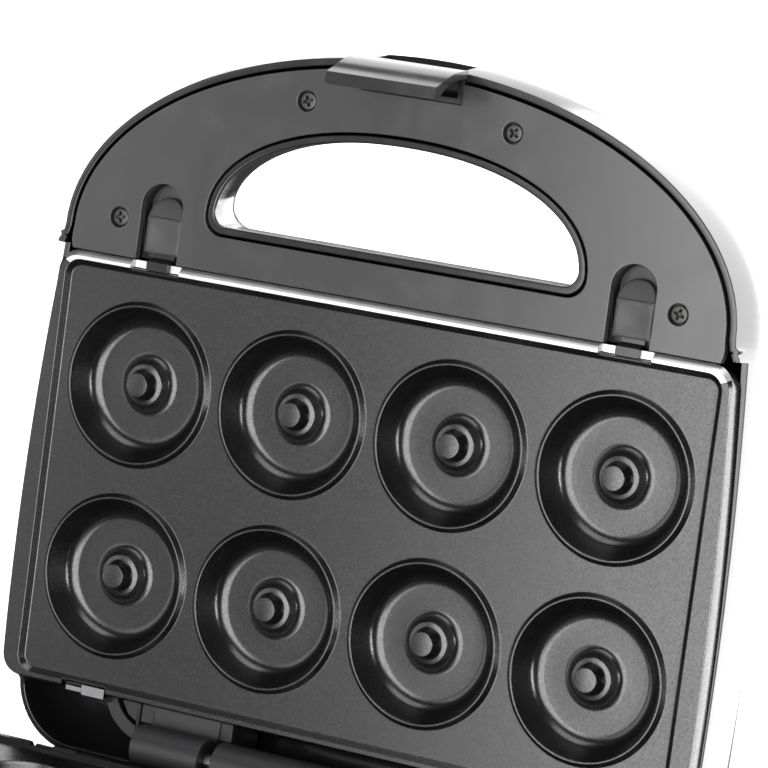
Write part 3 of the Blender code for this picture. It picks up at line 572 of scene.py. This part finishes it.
def shell_outlines():
    """The outline at the rim, with its shoulder, and the smooth one that it fades into."""
    corner_v = REAR_V + REAR_CORNER
    corner = (shell_side(corner_v) - REAR_CORNER, corner_v)
    body = [(corner[0] * i / 10, REAR_V) for i in range(10)]
    body += arc(corner, REAR_CORNER, -90, 0, 14)[:-1]
    along = (10.4, 12.0, 13.6, 15.5, 20, 28, 38, 50, 62, 75, 88, 100, 112, 124, 133, 139, 141.6)
    body += [(shell_side(v), v) for v in along]
    top = shell_side(SHOULDER_V)
    ahead = (0.0, 0.25, 1.0, 2.3, 3.3, 4.0)
    tight = (top, top, top - 0.1, top - 0.9, ARCH_HALF_WIDTH + 1.6, ARCH_HALF_WIDTH + 0.35)
    loose = (top, top - 0.02, top - 0.05, top - 0.1, top - 0.2, top - 0.25)
    knee = [(x, SHOULDER_V + v) for x, v in zip(tight, ahead)]
    fair = [(x, SHOULDER_V + v) for x, v in zip(loose, ahead)]
    rim, wide = body + knee, body + fair
    across = [half_width + gap for half_width, _, _ in CLIP_BAY.values() for gap in (0.06, -0.06)]
    angles = [math.radians(90.0 * i / ARCH_STEPS) for i in range(ARCH_STEPS + 1)]
    angles += [math.acos(x / ARCH_HALF_WIDTH) for x in across]
    for angle in sorted(angles):
        rim.append((ARCH_HALF_WIDTH * math.cos(angle), ARCH_V + ARCH_RISE * math.sin(angle)))
        wide.append(((top - 0.4) * math.cos(angle), ARCH_V + (ARCH_RISE + 0.6) * math.sin(angle)))
    rim[-1], wide[-1] = (0.0, rim[-1][1]), (0.0, wide[-1][1])
    return mirrored(rim), mirrored(wide)


def height_at(v):
    share = min(max((v - SLOPE_START) / (SLOPE_END - SLOPE_START), 0.0), 1.0)
    return HANDLE_HEIGHT + (HALF_HEIGHT - HANDLE_HEIGHT) * 0.5 * (1 + math.cos(math.pi * share))


def rim_depth(half, x, v):
    """Where the shell's rim stands, as a depth from the meeting plane."""
    bay_half, _, bay_w = CLIP_BAY[half]
    if v > 200 and abs(x) < bay_half:
        return bay_w
    if v > SHOULDER_V + 0.1:
        return SEAM
    share = min(max((13.5 - v) / 4.0, 0.0), 1.0)
    return RIM_DEPTH + (REAR_RIM_DEPTH - RIM_DEPTH) * share


def shell_walls(half, skin, steps):
    """Lines down the side of a half, from its rim to the edge of its outside face."""
    rim, wide = shell_outlines()
    shares = [i / steps for i in range(steps + 1)]
    insets = {}

    def ringed(distance):
        key = round(distance, 3)
        if key not in insets:
            insets[key] = (offset(rim, -key), offset(wide, -key))
        return insets[key]

    lines = []
    for i, ((x_rim, v_rim), (_, v_wide)) in enumerate(zip(rim, wide)):
        height = height_at(v_wide)
        roof = min(skin, BAY_ROOF) if v_rim > 200 and abs(x_rim) < CLIP_BAY[half][0] else skin
        start = rim_depth(half, x_rim, v_rim) / height
        line = []
        for share in shares:
            level = start + (1 - start) * math.sin(share * math.pi / 2)
            lean = max(level - 0.5, 0.0) * 2
            swell = SIDE_BULGE * math.sin(math.pi * min(level, 0.5))
            draw_in = skin - swell + (EDGE_ROUND - skin) * (1 - math.sqrt(max(1 - lean * lean, 0.0)))
            (x0, v0), (x1, v1) = (outline[i] for outline in ringed(draw_in))
            blend = min(level * height / SHOULDER_FADE, 1.0)
            x, v = x0 + (x1 - x0) * blend, v0 + (v1 - v0) * blend
            line.append((x, v, level * (height_at(v) - roof)))
        lines.append(line)
    return lines


def hole_outline(shrink=0.0, flare=0.0):
    """The hand hole: a flat rear edge, round corners and an arched front."""
    half, steps = HOLE_HALF_WIDTH - shrink + flare * FLARE_SIDE, 26
    rear = HOLE_V - HOLE_CORNER + shrink - flare * FLARE_REAR
    rise = HOLE_RISE - shrink + flare * FLARE_FRONT
    corner = HOLE_CORNER - shrink / 2 + flare * FLARE_REAR
    right = spread((0.0, rear), (half - corner, rear), 6)
    right += arc((half - corner, rear + corner), corner, -90, 0, 8)
    for i in range(1, steps + 1):
        angle = math.radians(90.0 * i / steps)
        x = half * math.cos(angle) ** (2 / HOLE_POWER) if i < steps else 0.0
        right.append((x, HOLE_V + rise * math.sin(angle) ** (2 / HOLE_POWER)))
    return mirrored(right)


def hole_wall(shrink, drop, steps):
    """Lines through the hand hole: straight at the cover, then flaring to the outside face."""
    rings = []
    for i in range(steps + 1):
        angle = math.radians(90.0 * i / steps)
        outline, climb = hole_outline(shrink, 1 - math.cos(angle)), math.sin(angle)
        rings.append([(x, v, FLARE_W + (height_at(v) - drop - FLARE_W) * climb) for x, v in outline])
    return zip(*rings)


def make_shell(half):
    """The casing: one skin from its inside round the rim to the outside, pierced by the hand hole."""
    form = Form()
    lines = []
    for inner, outer in zip(shell_walls(half, WALL, 9), shell_walls(half, 0.0, 22)):
        corners = [(point, 0) for point in reversed(inner[1:])] + [(inner[0], 0.4), (outer[0], 0.4)]
        corners += [(point, 0) for point in outer[1:]]
        lines.append(form.line(rounded(corners, 3)))
    form.skin(lines)
    inside, outside = [[line[0] for line in lines]], [[line[-1] for line in lines]]
    lips = []
    for inner, outer in zip(hole_wall(HOLE_LIP - HOLE_WALL, WALL, 9), hole_wall(HOLE_LIP, 0.0, 16)):
        corners = [(point, 0) for point in reversed(inner)]
        corners += [((*inner[0][:2], SEAM), 0.4), ((*outer[0][:2], SEAM), 0.7)]
        corners += [(point, 0) for point in outer]
        lips.append(form.line(rounded(corners, 5)))
    form.skin(lips)
    inside.append([line[0] for line in lips])
    outside.append([line[-1] for line in lips])
    if half == "lid":
        for centre in pair(LIGHT_X, LIGHT_V):
            ring = []
            bore, mouth = (arc(centre, radius, 0, 360, 40)[:-1] for radius in (LIGHT_BORE, LIGHT_BORE + 0.4))
            for (x, v), (x1, v1) in zip(bore, mouth):
                corners = [((x, v, HALF_HEIGHT - WALL), 0), ((x, v, HALF_HEIGHT), 0.4),
                           ((x1, v1, HALF_HEIGHT), 0)]
                ring.append(form.line(rounded(corners)))
            form.skin(ring)
            inside.append([line[0] for line in ring])
            outside.append([line[-1] for line in ring])
    form.fill(inside, cap=2)
    form.fill(outside, cap=1)
    for v in range(int(SLOPE_START), int(SLOPE_END) + 1, 3):
        everything = form.bm.verts[:] + form.bm.edges[:] + form.bm.faces[:]
        bmesh.ops.bisect_plane(form.bm, geom=everything, plane_co=(0, -v, 0), plane_no=(0, 1, 0), dist=0.01)
    for face in form.bm.faces:
        if face[form.cap]:
            drop = WALL if face[form.cap] == 2 else 0.0
            for vert in face.verts:
                vert.co.z = height_at(-vert.co.y) - drop
    add_bay(form, half)
    add_hinge(form, half)
    form.piece(half + "_casing", half, half, ["gloss_black", "satin_black"], [half + "_shell"])


def add_bay(form, half):
    """The lined recess in the front of the handle where the latch clip sits or catches."""
    wide, bay_v, bay_w = CLIP_BAY[half]
    outer, back, front = wide + BAY_WALL, bay_v - BAY_WALL, 208.6
    plan = [(-outer, front - 0.6), (-outer, back), (outer, back), (outer, front - 0.6), (wide, front - 0.3),
            (wide, bay_v), (-wide, bay_v), (-wide, front - 0.3)]
    form.slab(plan, (), SEAM + 0.1, bay_w + BAY_WALL, 0.2)
    floor = [(-wide - 0.4, bay_v - 0.4), (wide + 0.4, bay_v - 0.4), (wide + 0.4, front), (-wide - 0.4, front)]
    form.slab(floor, (), bay_w, bay_w + BAY_WALL, 0.1)
    if half == "base":
        form.bar([(198.6, 9.0), (198.6, 14.0), (201.2, 14.0), (201.2, 12.5)][::-1], -14, 14, 0.3)


def add_hinge(form, half):
    """Knuckles on their blocks, and the ribs beside them."""
    low, high = LID_KNUCKLE if half == "lid" else BASE_KNUCKLE
    block = [(0.0, 29.0), (-8.6, 18.0), (-8.6, 9.0), (-6.5, 3.2), (0.0, 1.0), (5.4, 4.6), (6.6, 5.7),
             (11.6, 6.0), (11.6, 29.0)]
    for x0, x1 in ((low, high), (-high, -low)):
        form.bar(block[::-1], x0 + 0.15, x1 - 0.15, 0.35, finish=1)
    if half == "lid":
        knuckles = [LID_KNUCKLE, (-LID_KNUCKLE[1], -LID_KNUCKLE[0])]
    else:
        knuckles = [(-BASE_KNUCKLE[1], BASE_KNUCKLE[1])]
    for x0, x1 in knuckles:
        form.bar(arc((0, 0), BARREL_R, 0, 360, 40)[:-1], x0, x1, 0.7, finish=1)
    if half == "lid":
        for side in (-1, 1):
            rib = [(-6.0, 14.5), (-6.0, 9.0), (3.0, 5.6), (11.6, 5.6), (11.6, 14.5)]
            ends = sorted((side * 65.6, side * 66.6))
            form.bar(rib[::-1], *ends, 0.2, finish=1)
            band = [(side * x, v) for x, v in arc((63.0, 15.4), 12.6, 278, 351, 10)]
            guard = [(side * x, v) for x, v in arc((63.0, 15.4), 16.0, 348, 275, 10)]
            plan = band + guard
            form.slab(plan if side > 0 else plan[::-1], (), 6.4, 30.0, 0.3, finish=1)
            patch = [(side * x, v) for x, v in ((66.6, 11.4), (66.6, 4.6), (70.4, 6.6), (73.6, 11.4))]
            form.slab(patch[::-1] if side > 0 else patch, (), 7.4, 9.0, 0.2, finish=1)
            web = [(5.6, 6.2), (12.2, 6.2), (12.2, 7.6), (5.6, 7.6)]
            form.bar(web, *sorted((side * 34.2, side * 65.4)), 0.2, finish=1)


# ---------------------------------------------------------------- handle covers and their fittings

def cover_outline(half):
    """The cover's outline, open to the plate at its two release pockets and to the clip's bay."""
    bay_half, bay_v, _ = CLIP_BAY[half]
    bay_v -= BAY_WALL + 0.12
    notch = bay_half + BAY_WALL + 0.12
    left, right = RELEASE_X - POCKET_HALF, RELEASE_X + POCKET_HALF
    points = spread((0.0, COVER_V0), (left, COVER_V0), 5)
    points += spread((left, COVER_V0), (left, POCKET_ROUND_V), 4)
    points += arc((RELEASE_X, POCKET_ROUND_V), POCKET_HALF, 180, 0, 26)
    points += spread((right, POCKET_ROUND_V - 4), (right, COVER_V0), 3)
    points += spread((right, COVER_V0), (COVER_HALF, COVER_V0), 3)
    points += [(COVER_HALF, COVER_V0), (COVER_HALF + 0.6, 143.5), (COVER_HALF + 0.7, 145.5)]
    wide, rise = ARCH_HALF_WIDTH - 3.0, ARCH_RISE - 3.0
    limit = math.acos(notch / wide)
    for i in range(41):
        angle = limit * i / 40
        points.append((wide * math.cos(angle), ARCH_V + rise * math.sin(angle)))
    points += [(notch, bay_v + 2.0), (notch, bay_v), (notch - 4.0, bay_v), (0.0, bay_v)]
    return mirrored(points)


def make_cover(half):
    """Flush inner cover of the handle, with tubs under its pockets and seats for its screws."""
    form = Form()
    screws = [arc(centre, 3.1, 0, 360, 36)[:-1] for x, v in SCREWS for centre in pair(x, v)]
    form.slab(cover_outline(half), [hole_outline(0.0)] + screws)
    for x, v in SCREWS:
        for centre in pair(x, v):
            form.turn([(0, 2.7), (3.4, 2.7), (3.4, 4.4), (0, 4.4)], centre, 24, finish=1)
    for middle in (-RELEASE_X, RELEASE_X):
        plan = arc((middle, POCKET_ROUND_V), POCKET_HALF + 0.02, 0, 180, 26)
        plan += [(middle - POCKET_HALF, COVER_V0 + 0.4), (middle + POCKET_HALF, COVER_V0 + 0.4)]
        outer = offset(plan, TUB_WALL)
        lines = []
        for (x, v), (x1, v1) in zip(plan, outer):
            top = 5.4 if v < COVER_V0 + 1 else 2.0
            v1 = max(v1, COVER_V0 + 0.1)
            inset = (middle + (x - middle) * 0.85, v + (152 - v) * 0.08, POCKET_DEPTH)
            corners = [((x1, v1, POCKET_DEPTH + 1.5), 0), ((x1, v1, top), 0.2), ((x, v, top), 0.2),
                       ((x, v, POCKET_DEPTH), 0.5), (inset, 0)]
            lines.append(form.line(rounded(corners, 3)))
        # The pocket walls are black, darker than the grey cover and floor: painted shade inside the pockets.
        form.skin(lines, finish=1)
        form.fill([[line[0] for line in lines]], 1)
        form.fill([[line[-1] for line in lines]], 2)
    finishes = ["gloss_grey", "satin_black", "satin_grey"]
    form.piece(half + "_cover_panel", half, half, finishes, [half + "_handle_cover"])


def make_releases(half):
    """Plate releases: a dished thumb block below a sloping half-round head, with a tongue over the plate."""
    for x, side in zip((-RELEASE_X, RELEASE_X), SIDES[half]):
        name = f"{half}_release_{side}"
        form = Form()
        low, high, middle = 143.7, 154.4, 149.05
        left, right = x - BLOCK_HALF, x + BLOCK_HALF
        block = spread((left, low), (right, low), 12) + spread((right, low), (right, high), 10)
        block += spread((right, high), (left, high), 12) + spread((left, high), (left, low), 10)
        rings = [[(a, b, BLOCK_FOOT) for a, b in block], [(a, b, 2.75) for a, b in block]]
        for inward in (0.02, 0.06, 0.16, 0.28, 0.42, 0.58, 0.74, 0.88, 0.97):
            ring = []
            for a, b in block:
                across, along = (a - x) / BLOCK_HALF, (b - middle) / BLOCK_REACH
                round_off = inward ** 0.5 * (1 / math.hypot(across, along) - 1) + 1
                reach = (1 - inward) * round_off
                edge = max(0.08 - inward, 0.0) * 4
                dish = 0.4 * (1 - (1 - inward) ** 2) ** 1.5
                ring.append((x + across * reach * BLOCK_HALF, middle + along * reach * BLOCK_REACH,
                             2.36 + edge + dish))
            rings.append(ring)
        lines = [form.line(line) for line in zip(*rings)]
        form.skin(lines)
        form.fill([[line[-1] for line in lines]])
        form.fill([[line[0] for line in lines]])
        head = arc((x, HEAD_V), BLOCK_HALF, 0, 180, 24)
        rows = []
        for shrink, drop in ((0, BLOCK_FOOT), (0, 0.5), (0.12, 0.2), (0.45, 0.0)):
            ring = []
            for a, b in head:
                scale = 1 - shrink / BLOCK_HALF
                near = (x + (a - x) * scale, HEAD_V + (b - HEAD_V) * scale)
                slope = 2.7 + (near[1] - HEAD_V) * 0.27
                ring.append((*near, BLOCK_FOOT if drop == BLOCK_FOOT else slope + drop))
            rows.append(ring)
        lines = [form.line(line) for line in zip(*rows)]
        form.skin(lines)
        form.fill([[line[-1] for line in lines]])
        form.fill([[line[0] for line in lines]])
        # The tongue is gloss black, darker than the grey block: painted shade in the gap between the block
        # and the plate.
        tongue = [(138.7, 2.5), (138.7, 1.3), (141.2, 1.3), (142.3, 4.6), (145.0, 4.6), (145.0, 5.4),
                  (141.4, 5.4), (141.0, 2.5)]
        form.bar(tongue, x - 3.6, x + 3.6, 0.15, finish=1)
        form.piece(name + "_slider", half, name, ["satin_grey", "gloss_black"], [name])


def make_screws(half):
    """Countersunk cross-head screws of the handle cover."""
    turns = iter((20, 52, 8, 71))
    for row, (x, v) in zip(("front", "rear"), SCREWS):
        for centre, side in zip(pair(x, v), SIDES[half]):
            form = Form()
            angle = math.radians(next(turns))
            wide, long = 0.46, 1.7
            cross = []
            for k in range(4):
                for a, b in ((long, -wide * 0.8), (long, wide * 0.8), (wide * 1.25, wide * 1.25)):
                    spin = angle + k * math.pi / 2
                    cross.append((centre[0] + a * math.cos(spin) - b * math.sin(spin),
                                  centre[1] + a * math.sin(spin) + b * math.cos(spin)))
            # The cross recess takes the black plastic finish, darker than the steel head: painted shade in
            # the recess.
            lines = []
            for k, (px, pv) in enumerate(cross):
                deep = 2.2 if k % 3 == 2 else 1.9
                toe = (centre[0] + (px - centre[0]) * 0.72, centre[1] + (pv - centre[1]) * 0.72, deep)
                lines.append(form.line([(px, pv, 1.02), (px, pv, 1.15), toe]))
            form.skin(lines, finish=1)
            form.fill([[line[-1] for line in lines]], 1)
            rim = rounded([((2.56, 2.6), 0), ((2.56, 1.15), 0.25), ((1.9, 1.02), 0)], 5)
            edge = []
            for k in range(40):
                turn = 2 * math.pi * k / 40
                x1, v1 = math.cos(turn), math.sin(turn)
                edge.append(form.line([(centre[0] + r * x1, centre[1] + r * v1, w) for r, w in rim]))
            form.skin(edge)
            form.fill([[line[-1] for line in edge], [line[0] for line in lines]])
            form.fill([[line[0] for line in edge]])
            node = f"{half}_cover_screw_{row}_{side}"
            form.piece(node + "_head", half, half, ["dark_steel", "satin_black"], [node])


def make_hooks(half):
    """Bent steel hooks that hold the plate's rear edge."""
    for x, side in zip((-HOOK_X, HOOK_X), SIDES[half]):
        form = Form()
        sign = 1 if x > 0 else -1
        strip = [(13.3, 1.45), (13.3, 2.5), (10.6, 2.5), (10.6, 12.0), (14.8, 12.0), (14.8, 13.2),
                 (9.5, 13.2), (9.5, 2.3), (10.4, 1.45)]
        near, far = sorted((x - sign * 6.7, x + sign * 1.2))
        form.bar(strip[::-1], near, far, 0.2)
        bar = [(12.3, 1.5), (12.3, 2.4), (11.0, 2.4), (11.0, 1.5)]
        form.bar(bar[::-1], x - 6.7, x + 6.7, 0.2)
        node = f"{half}_plate_hook_{side}"
        form.piece(node + "_strip", half, half, ["bright_steel"], [node])


# ---------------------------------------------------------------- latch clip

def at_height(a, b):
    """Where the clip's section crosses the foot of its neck."""
    share = (CLIP_NECK_W - a[1]) / (b[1] - a[1])
    return a[0] + (b[0] - a[0]) * share, CLIP_NECK_W


def make_clip():
    """Latch clip: an arched, hollow-backed hood with a thick finger tip and a narrower neck."""
    section = [(206.6, 7.4), (209.0, 5.2), (210.15, 1.5), (210.22, -2.5), (209.6, -7.5), (208.2, -12.0),
               (206.4, -16.0), (205.2, -19.2), (201.9, -19.4), (201.5, -17.0), (203.2, -15.4),
               (204.9, -13.2), (206.6, -9.5), (207.6, -5.5), (207.9, -1.5), (207.2, 1.6),
               (205.6, 2.4), (203.6, 3.0), (202.7, 4.6), (203.0, 6.4), (204.4, 7.6)]
    form = Form()
    curve = smoothed(section, corners=(7, 8, 9, 10), steps=4)
    first = next(i for i, (_, w) in enumerate(curve) if w < CLIP_NECK_W)
    last = next(i for i in range(first, len(curve)) if curve[i][1] > CLIP_NECK_W)
    hood = [at_height(*curve[first - 1:first + 1]), *curve[first:last], at_height(*curve[last - 1:last + 1])]
    neck = [hood[-1]] + curve[last:] + curve[:first] + [hood[0]]
    columns = {x: form.line([(x, v, w) for v, w in hood])
               for x in (-CLIP_HALF, -CLIP_NECK, CLIP_NECK, CLIP_HALF)}
    form.skin(list(columns.values()), closed=False)
    ends = []
    for x in (-CLIP_NECK, CLIP_NECK):
        line = [columns[x][-1]] + form.line([(x, v, w) for v, w in neck[1:-1]]) + [columns[x][0]]
        ends.append(line)
        outer = columns[math.copysign(CLIP_HALF, x)]
        form.bm.faces.new((columns[x][0], columns[x][-1], outer[-1], outer[0]))
    form.skin(ends, closed=False)
    caps = [form.bm.faces.new(line) for line in ends + [columns[-CLIP_HALF], columns[CLIP_HALF]]]
    bmesh.ops.triangulate(form.bm, faces=caps)
    form.piece("latch_clip_hood", "lid", "latch_clip", ["gloss_black"], ["latch_clip"], sharp=50, bevel=0.5)


# ---------------------------------------------------------------- small fittings

def make_feet():
    top = HALF_HEIGHT + 0.3
    profile = rounded([((0.0, top - 0.2), 0), ((7.6, top - 0.2), 0.3), ((7.6, top + 1.2), 0.6),
                       ((6.6, top + 4.7), 0.8), ((4.2, top + 4.7), 0.4), ((3.4, top + 4.2), 0.4),
                       ((0.0, top + 4.2), 0)], 4)
    for row, v in (("rear", 13.0), ("front", 128.0)):
        for centre, side in zip(pair(86.0, v), SIDES["base"]):
            form = Form()
            form.turn(profile, centre, 40)
            node = f"foot_{row}_{side}"
            form.piece(node + "_pad", "base", "base", ["black_rubber"], [node])


def make_lenses():
    profile = rounded([((0.0, 39.1), 0), ((3.2, 38.95), 1.4), ((3.9, 38.1), 0.5), ((3.9, 35.4), 0.2),
                       ((5.5, 35.4), 0.2), ((5.5, 34.1), 0.2), ((0.0, 34.1), 0)], 4)
    lights = (("power", "red_lens"), ("ready", "green_lens"))
    for centre, (name, finish) in zip(pair(LIGHT_X, LIGHT_V), lights):
        form = Form()
        form.turn(profile, centre, 40)
        form.piece(name + "_light_window", "lid", "lid", [finish], [name + "_light_lens"])


def make_gland():
    """Rubber inlet gland: a flanged, waisted sleeve in the base's rear wall."""
    low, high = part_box("cord_inlet_gland")
    centre = HALVES["base"].inverted() @ ((low + high) / 2)
    x, w = centre.x / MM, centre.z / MM
    sleeve = rounded([((3.3, 5.5), 0), ((4.5, 5.5), 0.3), ((4.5, -2.2), 0.2), ((6.6, -2.2), 0.3),
                      ((6.6, -3.3), 0.6), ((5.2, -4.35), 0.5), ((3.6, -4.35), 0.4), ((3.3, -3.6), 0.2),
                      ((3.3, 5.5), 0)], 4)
    form = Form()
    lines = []
    for k in range(40):
        angle = 2 * math.pi * k / 40
        across, up = math.cos(angle), math.sin(angle)
        lines.append(form.line([(x + r * across, REAR_V + a, w + r * up) for r, a in sleeve]))
    form.skin(lines)
    plug = [[(x + r * math.cos(t), REAR_V + a, w + r * math.sin(t)) for r, a in ((3.5, 1.5), (3.5, 0.2))]
            for t in (2 * math.pi * k / 40 for k in range(40))]
    rows = form.skin([form.line(line) for line in plug])
    for end in (0, -1):
        form.bm.faces.new([line[end] for line in rows])
    form.piece("cord_inlet_sleeve", "base", "base", ["black_rubber"], ["cord_inlet_gland"])


# ---------------------------------------------------------------- the object

for name in ("base", "lid"):
    make_shell(name)
    make_plate(name)
    make_cover(name)
    make_releases(name)
    make_screws(name)
    make_hooks(name)
make_clip()
make_feet()
make_lenses()
make_gland()

CARRIED = {"reflector_tray": "aluminium_sheet", "heating_element": "element_sheath",
           "thermostat": "white_ceramic", "release_spring": "bright_steel", "hinge_pin": "bright_steel",
           "terminal_block": "white_ceramic", "thermal_fuse": "aluminium_sheet", "lamp": "neon_lamp_glass",
           "latch_clip_pin": "bright_steel"}
for name, node in frame["nodes"].items():
    if not node.hide_render:
        finish = next(kind for key, kind in CARRIED.items() if key in name)
        node.data.materials.clear()
        node.data.materials.append(FINISHES[finish].material)


# ---------------------------------------------------------------- floor, lights and camera

def plain_floor():
    """A pale seamless floor that curves up into a backdrop far behind."""
    bm = bmesh.new()
    profile = [(-3.0, 0.0), *arc((3.0, 0.8), 0.8, -90, 0, 9), (3.8, 4.0)]
    rows = [[bm.verts.new((x, y, z)) for y, z in profile] for x in (-5.0, 5.0)]
    for a, b, c, d in zip(rows[0], rows[0][1:], rows[1][1:], rows[1]):
        bm.faces.new((a, b, c, d))
    mesh = bpy.data.meshes.new("floor")
    bm.to_mesh(mesh)
    bm.free()
    mesh.shade_smooth()
    finish = Finish("pale_floor", (0.9, 0.9, 0.9), 0.9)
    tone = finish.between(finish.noise(60, 2), (0.89, 0.89, 0.89), (0.92, 0.92, 0.92))
    finish.drive(Base_Color=tone, Emission_Color=tone)
    finish.shader.inputs["Emission Strength"].default_value = 0.35
    mesh.materials.append(finish.material)
    item = bpy.data.objects.new("floor", mesh)
    bpy.context.scene.collection.objects.link(item)
    item.location.z = cad_box[0].z
    item.visible_glossy = False


def soft_light(name, azimuth, elevation, distance, wide, tall, power):
    """A soft box aimed at the middle of the object; azimuth 0 is in front, and 90 to the right."""
    middle = (cad_box[0] + cad_box[1]) / 2
    a, e = math.radians(azimuth), math.radians(elevation)
    away = Vector((math.sin(a) * math.cos(e), -math.cos(a) * math.cos(e), math.sin(e)))
    light = bpy.data.lights.new(name, "AREA")
    light.shape = "RECTANGLE"
    light.size, light.size_y = wide, tall
    light.energy = power
    item = bpy.data.objects.new(name, light)
    bpy.context.scene.collection.objects.link(item)
    item.location = middle + away * distance
    item.rotation_euler = (-away).to_track_quat("-Z", "Y").to_euler()


plain_floor()
soft_light("front_card", 1, 12, 1.7, 1.55, 1.3, 31)
soft_light("left_card", -48, 12, 1.8, 0.7, 1.2, 4)
soft_light("right_strip", 74, 8, 1.2, 0.12, 0.7, 5)
soft_light("overhead", -20, 80, 1.5, 1.2, 1.0, 8)
soft_light("right_rear", 150, 8, 1.5, 2.5, 2.2, 130)
soft_light("left_rear", -150, 14, 1.5, 1.3, 0.9, 9)

world = bpy.data.worlds.new("studio")
world.use_nodes = True
bpy.context.scene.world = world
background = world.node_tree.nodes["Background"]
background.inputs["Color"].default_value = (1.0, 1.0, 1.0, 1.0)
background.inputs["Strength"].default_value = 0.09

VIEW_AZIMUTH, VIEW_ELEVATION = 29.19, 19.86
camera = bpy.data.cameras.new("camera")
camera.lens = 202.15
viewer = bpy.data.objects.new("camera", camera)
bpy.context.scene.collection.objects.link(viewer)
aim = HALVES["lid"] @ Vector((0.0, -PLATE_CENTRE_V * MM, SEAM * MM))
viewer.location = aim + Vector((0.5668, -0.9970, 0.4584))
viewer.rotation_euler = (math.radians(90 - VIEW_ELEVATION), 0.0, math.radians(VIEW_AZIMUTH))
bpy.context.scene.camera = viewer
bpy.context.scene.view_settings.view_transform = "Standard"
